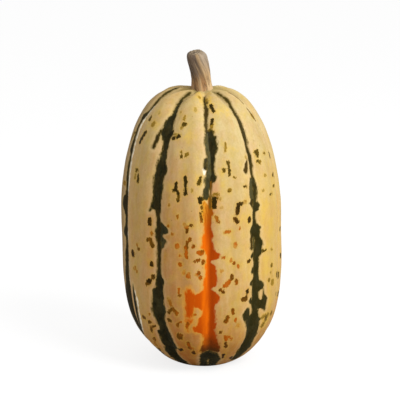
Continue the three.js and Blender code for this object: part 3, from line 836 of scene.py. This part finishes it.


# Stripes and flecks for the sides that the listed ones don't reach, drawn by rule from a fixed seed.
wildMarks = {
    "seed": 41, "furrows": (3, 4, 5, -4, -3), "ribs": (2.5, 3.5, 4.5, -4.5, -3.5, -2.5), "tone": 0.1,
    "stripeFrom": 168, "stripeTo": 1, "stripeStep": 6.5, "fleckFrom": 152, "fleckTo": 14, "fleckStep": 6.2,
    "fleckChance": 0.72,
}


def wildStripe(random):
    stations = []
    for height in np.arange(wildMarks["stripeFrom"], wildMarks["stripeTo"], -wildMarks["stripeStep"]):
        share = height / wildMarks["stripeFrom"]
        thick = random.choice([0.7, 1.1, 2.4, 3.4], p=[0.3, 0.25, 0.27, 0.18]) * (1.25 - 0.7 * share ** 3)
        shift = random.normal(0, 0.7)
        wide = height - random.uniform(0.6, 1.6)
        stations += [(height, shift - thick, shift + thick * random.uniform(0.7, 1.2)),
                     (wide - 3.2, shift - thick * random.uniform(0.6, 1.2), shift + thick)]
    stations.append((wildMarks["stripeTo"], -1.2, 1.2))
    return stations


def wildFlecks(random):
    marks = []
    for height in np.arange(wildMarks["fleckFrom"], wildMarks["fleckTo"], -wildMarks["fleckStep"]):
        if random.random() < wildMarks["fleckChance"]:
            sideways = random.normal(0, 3.0)
            length = random.choice([1.8, 2.6, 4.5, 8.0], p=[0.38, 0.3, 0.22, 0.1])
            marks.append((sideways, height + random.uniform(-2.5, 2.5), length, random.uniform(0.9, 1.7),
                          random.normal(0, 9), random.uniform(0.1, 0.95)))
    return marks


def markSkin(fruit, shape):
    skin = unrollSkin(fruit, shape)
    random = np.random.default_rng(wildMarks["seed"])
    strands = byFurrow(stripeStrands)
    for furrow in wildMarks["furrows"]:
        strands.append((furrow, (wildMarks["tone"], wildStripe(random))))
    spots = byFurrow(flecks)
    for rib in wildMarks["ribs"]:
        spots += [(rib, mark) for mark in wildFlecks(random)]
    found = [strandDistance(skin, furrow, stations) for furrow, (_, stations) in strands]
    stripe, stripeTone, pick = nearest([away for away, _ in found], [tone for _, (tone, _) in strands])
    halfWidth = np.take_along_axis(np.array([half for _, half in found]), pick[None], axis=0)[0]
    fleck, fleckTone, _ = nearest([fleckDistance(skin, furrow, *mark[:-1]) for furrow, mark in spots],
                                  [mark[-1] for _, mark in spots])
    patches = [fleckDistance(skin, furrow, *patch) for furrow, patch in byFurrow(yellowPatches)]
    values = {
        "stripe": stripe, "stripeTone": stripeTone, "stripeLoose": np.clip(halfWidth / 1.6, 0.35, 1.0),
        "fleck": fleck, "fleckTone": fleckTone, "axisDistance": skin["radius"],
        "flameEdge": np.min(strandReach(skin, flameStrands), axis=0),
        "pale": np.min(strandReach(skin, glintStrands), axis=0),
        "yellow": np.min(strandReach(skin, yellowStrands) + patches, axis=0),
    }
    for name, value in values.items():
        writeValues(fruit.data, name, value)
    return len(strands), len(spots)


rindLook = {
    "topCream": (0.58, 0.43, 0.185, 1), "cream": (0.57, 0.37, 0.125, 1), "lowTan": (0.46, 0.195, 0.036, 1),
    "leftTop": (0.52, 0.335, 0.122, 1), "leftTan": (0.52, 0.255, 0.075, 1),
    "leftLow": (0.46, 0.165, 0.026, 1), "farLeftFill": (0.60, 0.37, 0.134, 1),
    "topTint": (0.90, 0.95, 1.03, 1), "leftShadeTint": (0.84, 0.74, 0.65, 1), "rightTint": (0.98, 0.98, 1.0, 1),
    "lowShadeTint": (0.97, 0.82, 0.60, 1), "warmTint": (0.96, 0.90, 0.80, 1),
    "crownShade": (0.15, 0.115, 0.030, 1),
    "paleCream": (0.66, 0.49, 0.25, 1), "rose": (0.54, 0.250, 0.112, 1), "blush": (0.50, 0.205, 0.062, 1),
    "yellow": (0.60, 0.385, 0.040, 1),
    "olive": (0.33, 0.235, 0.050, 1), "glintWhite": (0.88, 0.81, 0.64, 1), "ribShade": (0.24, 0.160, 0.072, 1),
    "blackGreen": (0.009, 0.009, 0.0025, 1), "litStripeGreen": (0.0195, 0.0175, 0.0025, 1),
    "greyGreenAndSheen": (0.075, 0.069, 0.030, 1),
    "stripeBrown": (0.060, 0.031, 0.004, 1), "stripeEdge": (0.105, 0.072, 0.008, 1),
    "fleckDark": (0.030, 0.012, 0.001, 1), "fleckBrown": (0.15, 0.050, 0.002, 1),
    "fleckOlive": (0.25, 0.145, 0.012, 1), "fleckMoss": (0.085, 0.050, 0.003, 1),
    "fleckInk": (0.026, 0.017, 0.002, 1), "fleckRust": (0.38, 0.080, 0.001, 1),
    "fleckTan": (0.46, 0.20, 0.020, 1), "fleckHalo": (0.55, 0.32, 0.030, 1),
    "orange": (0.68, 0.125, 0.001, 1), "shadedOrange": (0.35, 0.044, 0.0005, 1),
    "ember": (0.45, 0.062, 0.0005, 1), "amber": (0.70, 0.32, 0.025, 1),
    "amberBrownAndShade": (0.30, 0.080, 0.002, 1), "flameFoot": (0.075, 0.024, 0.001, 1),
    "scar": (0.33, 0.22, 0.11, 1),
    # how each kind of mark ends: softness, wander and rim in millimetres, the size of a swing in metres
    "yellowEdge": {"Softness": 2.6, "Wander": 1.6, "Size": 0.0026, "Stretch": 1.3},
    "flameEdge": {"Softness": 0.65, "Wander": 0.8, "Size": 0.0024, "Stretch": 2.2, "Rim Width": 1.3},
    "blushEdge": {"Softness": 5.0, "Wander": 2.4, "Size": 0.005, "Stretch": 2.0},
    "fleckEdge": {"Softness": 0.35, "Wander": 0.62, "Size": 0.0017, "Stretch": 1.7},
    "paleEdge": {"Softness": 0.4, "Wander": 0.5, "Size": 0.002, "Stretch": 3.0},
    "stripeRag": {"Softness": 0.3, "Size": 0.0026, "Stretch": 2.4, "Rim Width": 0.9},
}


def rindMaterial(look):
    material, tree, surface, place = startMaterial(
        "rind", Roughness=0.42, IOR=1.46, Specular_IOR_Level=0.04)
    do, plus, minus, times, fade = shortForms(tree)
    mix = partial(mixColour, tree)
    read = partial(attribute, tree)

    def blend(share, first, second, gain=1.0):
        return mix(times(share, gain), first, second)

    def edgeOf(name, kind, **more):
        return useGroup(tree, raggedEdge, {"Vector": place, "Distance": read(name), **look[kind], **more})

    mottle = useGroup(tree, skinMottle, {"Vector": place, "Blotch Size": 0.010, "Streak Size": 0.0030})
    fine = useGroup(tree, skinMottle, {"Vector": place, "Blotch Size": 0.0038, "Streak Size": 0.0012})
    level = read("level")
    rib = read("rib")

    # ground colour: pale at the crown and tan at the blossom end, and warmer all over its left side; the
    # darker bottom and left side are partly the rind's own tan and partly painted shade, and the far left
    # is lightened with painted fill light
    lowLevel = fade(level, 0.0, 0.5, smooth=False)
    highLevel = fade(level, 0.55, 0.9, smooth=False)
    right = mix(lowLevel, look["lowTan"], look["cream"])
    right = mix(highLevel, right, look["topCream"])
    left = mix(lowLevel, look["leftLow"], look["leftTan"])
    left = mix(highLevel, left, look["leftTop"])
    sideways = do("SINE", read("turn"))
    colour = mix(fade(sideways, 0.15, -0.2), right, left)
    # painted fill light: the far left is lightened
    colour = blend(fade(sideways, -0.5, -0.8), colour, look["farLeftFill"], 0.75)
    layers = [(mottle["Blotch"], "rose", 0.45), (mottle["Patch"], "yellow", 0.45),
              (mottle["Streak"], "paleCream", 0.24), (fine["Patch"], "olive", 0.22),
              (fine["Blotch"], "paleCream", 0.22), (mottle["Speckle"], "olive", 0.16),
              (read("middle"), "olive", 0.26)]
    for share, name, gain in layers:
        colour = blend(share, colour, look[name], gain)
    # painted shade: these tints darken the left side (less so on the far left, kept lighter as painted fill
    # light) and darken and warm the bottom; the top has its own tint
    tint = mix(fade(sideways, 0.02, -0.26), look["rightTint"], look["leftShadeTint"])
    tint = blend(fade(sideways, -0.55, -0.8), tint, look["rightTint"], 0.6)
    tint = mix(fade(level, 0.5, 0.85, smooth=False), tint, look["topTint"])
    colour = mix(1.0, colour, tint, "MULTIPLY")
    colour = mix(fade(level, 0.28, 0.06), colour, look["lowShadeTint"], "MULTIPLY")
    warm = times(fade(do("ABSOLUTE", rib), 0.95, 0.6), fade(level, 0.42, 0.12))
    colour = mix(warm, colour, look["warmTint"], "MULTIPLY")
    dots = useGroup(tree, pores, {"Vector": place, "Spacing": 0.0030, "Reach": 0.17})
    sparse = times(dots["Pit"], fade(dots["Tint"], 0.66, 0.9))
    colour = blend(fade(sparse, 0.1, 0.5), colour, look["fleckBrown"], 0.5)

    # yellow patches, painted shade on the rib behind the pale highlight line on the left, painted shade in
    # the furrows near the crown, and a pale band that hugs each stripe
    sunny = times(fade(rib, 0.5, 0.95), fade(rib, 2.7, 2.0))
    sunny = times(sunny, times(fade(level, 0.1, 0.4), fade(level, 0.85, 0.6)))
    colour = blend(sunny, colour, look["yellow"], 0.2)
    soft = edgeOf("yellow", "yellowEdge")
    yellowShare = times(soft["Mask"], fade(fine["Blotch"], 0.0, 0.6, 0.35, 1.0))
    yellowShare = times(yellowShare, fade(level, 0.93, 0.99, 0.42, 0.85))
    colour = mix(yellowShare, colour, look["yellow"])
    reach = do("MULTIPLY_ADD", fade(level, 0.8, 0.97), 0.5, rib)
    shaded = times(fade(rib, -2.08, -2.16), fade(reach, -2.62, -2.3))
    colour = blend(shaded, colour, look["ribShade"], 0.62)
    crownFurrowShade = times(fade(read("valley"), 0.25, 0.95), fade(level, 0.93, 1.0))
    crownFurrowShade = times(crownFurrowShade, fade(do("ABSOLUTE", rib), 0.3, 0.6))
    colour = blend(crownFurrowShade, colour, look["crownShade"], 0.6)
    stripe = read("stripe")
    colour = blend(fade(stripe, 3.0, 0.4), colour, look["paleCream"], 0.3)

    # the orange flame: bright left of the furrow and deep right of it, where painted shade stands for the
    # furrow's right wall turned from the light; amber towards its top and left edge
    shadedWall = do("MULTIPLY_ADD", minus(mottle["Streak"], 0.5), 0.035, rib)
    shadedWall = plus(shadedWall, fade(level, 0.5, 0.6, 0.0, 0.055))
    shadedWall = fade(shadedWall, -0.085, 0.05)
    flame = edgeOf("flameEdge", "flameEdge")
    blush = edgeOf("flameEdge", "blushEdge")
    colour = blend(blush["Mask"], colour, look["blush"], 0.5)
    above = times(fade(rib, -0.02, 0.03), fade(rib, 0.26, 0.12))
    above = times(above, times(fade(level, 0.59, 0.64), fade(level, 0.76, 0.7)))
    colour = blend(above, colour, look["rose"], 0.6)
    fringe = times(fade(flame["Depth"], -2.8, 0.2), minus(1, shadedWall))
    colour = blend(fringe, colour, look["amber"], 0.5)
    fire = mix(shadedWall, look["orange"], look["shadedOrange"])
    fire = blend(mottle["Streak"], fire, look["ember"], 0.5)
    fire = blend(fade(rib, -0.12, -0.2), fire, look["ember"], 0.9)
    topAmber = mix(shadedWall, look["amber"], look["amberBrownAndShade"])
    topFire = mix(fade(fine["Streak"], 0.3, 0.8), topAmber, look["amberBrownAndShade"])
    fire = blend(fade(level, 0.52, 0.63), fire, topFire, 0.85)
    footLevel = do("MULTIPLY_ADD", fine["Blotch"], 0.014, level)
    fire = blend(fade(footLevel, 0.175, 0.088), fire, look["flameFoot"], 0.95)
    paleEdge = times(flame["Rim"], minus(1, shadedWall))
    fire = blend(paleEdge, fire, look["amber"], 0.25)
    colour = mix(flame["Mask"], colour, fire)

    # flecks: dark to tan, each in a faint yellow halo, and the tan ones fainter
    fleck = edgeOf("fleck", "fleckEdge")
    tone = do("MULTIPLY_ADD", minus(fine["Blotch"], 0.5), 0.24, read("fleckTone"))
    green = do("MAXIMUM", fade(level, 0.5, 0.72), fade(sideways, 0.45, 0.75))
    green = do("MAXIMUM", green, fade(do("ABSOLUTE", rib), 0.5, 0.85, 0.0, 0.45))
    brown = mix(green, look["fleckBrown"], look["fleckMoss"])
    darkest = mix(green, look["fleckDark"], look["fleckInk"])
    heart = mix(fade(tone, 0.1, 0.5), darkest, brown)
    heart = mix(fade(tone, 0.42, 0.72), heart, mix(green, look["fleckRust"], look["fleckOlive"]))
    heart = mix(fade(tone, 0.78, 1.0), heart, mix(green, look["fleckTan"], look["olive"]))
    heart = blend(fade(fleck["Depth"], 0.35, -0.1), heart, brown, 0.4)
    colour = blend(fade(fleck["Depth"], -1.5, 0.0), colour, look["fleckHalo"], 0.36)
    strength = fade(tone, 0.65, 1.0, 1.0, 0.7)
    colour = mix(times(fade(fleck["Depth"], -0.4, 0.1), strength), colour, heart)

    # the pale line by the far left stripe, a painted highlight, then stripes over everything else
    glint = edgeOf("pale", "paleEdge")
    colour = blend(glint["Mask"], colour, look["glintWhite"], 0.85)
    wander = times(read("stripeLoose"), 0.7)
    edge = edgeOf("stripe", "stripeRag", Wander=wander)
    stripeTone = read("stripeTone")
    # painted light: stripes are a lighter olive on the right side, which faces the light
    dark = mix(fade(sideways, 0.1, 0.4), look["blackGreen"], look["litStripeGreen"])
    dark = blend(mottle["Speckle"], dark, look["greyGreenAndSheen"], 0.1)
    dark = blend(fine["Streak"], dark, look["stripeBrown"], 0.22)
    dark = blend(mottle["Patch"], dark, look["greyGreenAndSheen"], 0.22)
    # painted sheen: the grey-green of the lighter-toned strands
    sheenGrey = blend(fine["Patch"], look["greyGreenAndSheen"], look["blackGreen"], 0.7)
    sheenGrey = blend(fine["Streak"], sheenGrey, look["stripeEdge"], 0.35)
    dark = mix(fade(stripeTone, 0.0, 1.0), dark, sheenGrey)
    dark = mix(fade(stripeTone, 0.0, -1.0), dark, look["stripeBrown"])
    dark = mix(fade(stripeTone, -1.1, -2.0), dark, look["fleckBrown"])
    dark = blend(edge["Rim"], dark, look["stripeEdge"], 0.5)
    colour = blend(fade(edge["Depth"], -1.1, 0.0), colour, look["stripeEdge"], 0.5)
    colour = mix(edge["Mask"], colour, dark)

    # blossom scar in the middle of the flat spot
    corky = useGroup(tree, fibres, {"Vector": place, "Size": 0.0016, "Stretch": 1.0})
    scar = times(fade(read("axisDistance"), 5.6, 4.6), do("LESS_THAN", level, 0.5))
    scarColour = mix(corky["Fibre"], look["fleckBrown"], look["scar"])
    colour = mix(scar, colour, scarColour)
    feed(tree, surface.inputs["Base Color"], colour)

    pitted = useGroup(tree, pores, {"Vector": place, "Spacing": 0.0015, "Reach": 0.22})
    grain = noise(tree, place, 0.0007, 3.0, 0.6)
    relief = do("MULTIPLY_ADD", grain, 0.5, times(mottle["Streak"], 0.5))
    relief = minus(relief, times(pitted["Pit"], 0.6))
    relief = minus(relief, times(edge["Mask"], 0.5))
    bump = put(tree, "ShaderNodeBump", {"Height": relief, "Strength": 0.3, "Distance": 0.0002})
    feed(tree, surface.inputs["Normal"], bump.outputs[0])
    rough = plus(0.40, times(mottle["Speckle"], 0.12))
    feed(tree, surface.inputs["Roughness"], plus(rough, times(scar, 0.4)))
    return material


fruit = makeFruit(fruitShape, rindMaterial(rindLook))
print("fruit grown:", len(fruit.data.vertices), "points,",
      sum(len(face.vertices) - 2 for face in fruit.data.polygons), "triangles")
print("marks placed: %d strands, %d flecks" % markSkin(fruit, fruitShape))
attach(fruit, "root")
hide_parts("fruit")


# the stem: a woody stub with twisting ridges, flared at its foot and cut off at a slope

stemShape = {
    "foot": stemLow.z / mm, "length": 26.8,
    "path": [(-0.6, 0, 0), (-0.6, 0, 5), (-0.85, -0.02, 10), (-1.45, -0.12, 14.5), (-2.4, -0.3, 18.5),
             (-3.4, -0.52, 22), (-4.3, -0.8, 26.8)],
    "outline": [(0, 0), (6.2, 0), (6.9, 2.6), (6.5, 4.6), (5.95, 7.4), (5.75, 10.5), (5.85, 15), (6.0, 20),
                (5.9, 23.6), (5.6, 24.9), (5.0, 25.8), (4.1, 26.4), (2.9, 26.7), (1.4, 26.5), (0, 26.3)],
    "columns": 168, "rows": 150, "ridges": 5, "ridgeDepth": 0.3, "twist": -48,
    "fibreDepth": 0.2, "fibreSize": 1.1, "cutSide": 0.1, "cutFront": 0.2, "shoulder": 1.2,
}


def ridgedStemTree(sizes):
    tree, given, made = newTree("ridgedStem", "GeometryNodeTree", {
        "Outline": "Object", "Path": "Object", "Bark": "Material", **sizes}, ("Geometry",))
    do, plus, minus, times, fade = shortForms(tree)

    turned = turnedOutline(tree, given)
    turn, radius, height = turned["turn"], turned["radius"], turned["height"]
    share = do("DIVIDE", height, given["Length"], clamp=True)
    twisted = minus(turn, times(share, given["Twist"]))

    # five uneven ridges, and fibres that follow them
    uneven = times(do("SINE", do("MULTIPLY_ADD", twisted, 2.0, 0.8)), 0.55)
    wave = do("COSINE", do("MULTIPLY_ADD", twisted, given["Ridges"], uneven))
    ridge = times(plus(wave, times(do("COSINE", times(twisted, 3.0)), 0.35)), given["Ridge Depth"])
    ring = combine(tree, do("SINE", twisted), do("COSINE", twisted), 0)
    girth = vectorMaths(tree, "SCALE", ring)
    feed(tree, girth.node.inputs["Scale"], 0.006)
    along = combine(tree, 0, 0, times(height, 0.12))
    grain = vectorMaths(tree, "ADD", girth, along)
    fibre = times(minus(noise(tree, grain, given["Fibre Size"], 3.0, 0.6), 0.5),
                  times(given["Fibre Depth"], 2))
    onSide = times(fade(radius, 0.002, 0.0052), fade(height, 0.0, 0.003))
    cutFace = times(fade(radius, 0.0049, 0.0040), do("GREATER_THAN", share, 0.5))
    foot = fade(share, 0.45, 0.1)
    outward = plus(times(ridge, do("MULTIPLY_ADD", foot, 0.9, 1.0)), fibre)
    radiusNow = plus(radius, times(times(outward, onSide), turned["outX"]))

    guide = put(tree, "GeometryNodeObjectInfo", {"Object": given["Path"]})
    spot = put(tree, "GeometryNodeSampleCurve", {"Curves": guide.outputs["Geometry"]}, mode="FACTOR")
    feed(tree, spot.inputs["Factor"], share)
    centre = split(tree, spot.outputs["Position"])
    x = times(do("SINE", turn), radiusNow)
    y = times(times(do("COSINE", turn), radiusNow), -1)
    slope = times(do("POWER", share, 3), plus(times(x, given["Cut Side"]), times(y, given["Cut Front"])))
    rounded = times(do("POWER", do("MAXIMUM", do("DIVIDE", x, 0.006), 0), 3),
                    times(given["Shoulder"], do("POWER", share, 10)))
    rough = times(minus(noise(tree, combine(tree, x, y, 0.1), 0.0012, 3.0, 0.6), 0.5),
                  times(cutFace, 0.0011))
    z = plus(plus(height, given["Foot"]), plus(minus(slope, rounded), rough))
    place = combine(tree, plus(centre["X"], x), plus(centre["Y"], y), z)
    flat = storeValues(tree, turned["mesh"], {
        "share": share, "cutFace": cutFace, "turn": turn, "groove": do("MULTIPLY_ADD", wave, -0.5, 0.5),
        **{"grain" + axis: split(tree, grain)[axis] for axis in "XYZ"}})
    shaped = put(tree, "GeometryNodeSetPosition", {"Geometry": flat, "Position": place})
    closeAndSkin(tree, shaped.outputs[0], given["Bark"], made)
    return tree


def makeStem(shape, bark):
    lengths = ("foot", "length", "ridgeDepth", "fibreDepth", "fibreSize", "shoulder")
    sizes = socketSizes(shape, ("columns", "rows"), ("ridges", "cutSide", "cutFront"), lengths, ("twist",))
    outline = guideCurve("stemOutline", [(radius, 0, height) for radius, height in shape["outline"]])
    path = guideCurve("stemPath", shape["path"])
    inputs = {"Outline": outline, "Path": path, "Bark": bark, **sizes}
    stem = growMesh("woodyStem", ridgedStemTree(sizes), inputs)
    bpy.data.objects.remove(outline)
    bpy.data.objects.remove(path)
    return stem


stemLook = {
    "bark": (0.25, 0.140, 0.050, 1), "paleBark": (0.46, 0.31, 0.155, 1),
    "darkBark": (0.065, 0.040, 0.020, 1), "shadeBark": (0.112, 0.078, 0.054, 1),
    "russet": (0.33, 0.150, 0.048, 1), "greyBark": (0.30, 0.245, 0.185, 1),
    "litFootBark": (0.60, 0.42, 0.22, 1), "cutPale": (0.33, 0.25, 0.16, 1), "cutDark": (0.08, 0.055, 0.03, 1),
}


def stemMaterial(look):
    material, tree, surface, place = startMaterial(
        "stemBark", Roughness=0.8, IOR=1.45, Specular_IOR_Level=0.3)
    do, plus, minus, times, fade = shortForms(tree)
    mix = partial(mixColour, tree)
    read = partial(attribute, tree)
    grain = combine(tree, read("grainX"), read("grainY"), read("grainZ"))
    wood = useGroup(tree, fibres, {"Vector": grain, "Size": 0.0011, "Stretch": 1.0})
    share = read("share")

    # brown wood with pale fibres, dark in the grooves, painted shade over the left side, painted light low
    # on the right side, and grey at the top right
    colour = mix(wood["Fibre"], look["bark"], look["paleBark"])
    colour = mix(fade(read("groove"), 0.5, 1.3), colour, look["darkBark"])
    patchy = times(minus(noise(tree, grain, 0.0024), 0.5), 1.4)
    side = plus(do("SINE", read("turn")), patchy)
    low = fade(share, 0.6, 0.28)
    grey = times(fade(share, 0.4, 0.95), fade(side, -0.1, 0.5))
    colour = mix(times(grey, 0.75), colour, look["greyBark"])
    shade = times(fade(side, 0.2, -0.45), fade(low, 0.0, 1.0, 0.9, 0.3))
    colour = mix(shade, colour, look["shadeBark"])
    streaks = times(low, fade(noise(tree, grain, 0.0015), 0.42, 0.58))
    colour = mix(times(streaks, 0.7), colour, look["russet"])
    lit = times(fade(share, 0.62, 0.3), fade(side, 0.25, 0.8))
    colour = mix(times(lit, 0.7), colour, look["litFootBark"])
    colour = mix(times(wood["Crack"], 0.5), colour, look["darkBark"])
    pith = noise(tree, place, 0.0010, 3.0, 0.7)
    cutColour = mix(fade(pith, 0.36, 0.64), look["cutDark"], look["cutPale"])
    colour = mix(times(read("cutFace"), 0.85), colour, cutColour)
    feed(tree, surface.inputs["Base Color"], colour)
    relief = minus(wood["Fibre"], times(wood["Crack"], 0.8))
    bump = put(tree, "ShaderNodeBump", {"Height": relief, "Strength": 0.6, "Distance": 0.0003})
    feed(tree, surface.inputs["Normal"], bump.outputs[0])
    feed(tree, surface.inputs["Roughness"], fade(wood["Fibre"], 0.0, 1.0, 0.62, 0.88))
    return material


stem = makeStem(stemShape, stemMaterial(stemLook))
print("stem grown:", len(stem.data.vertices), "points")
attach(stem, "root")
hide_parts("stem")
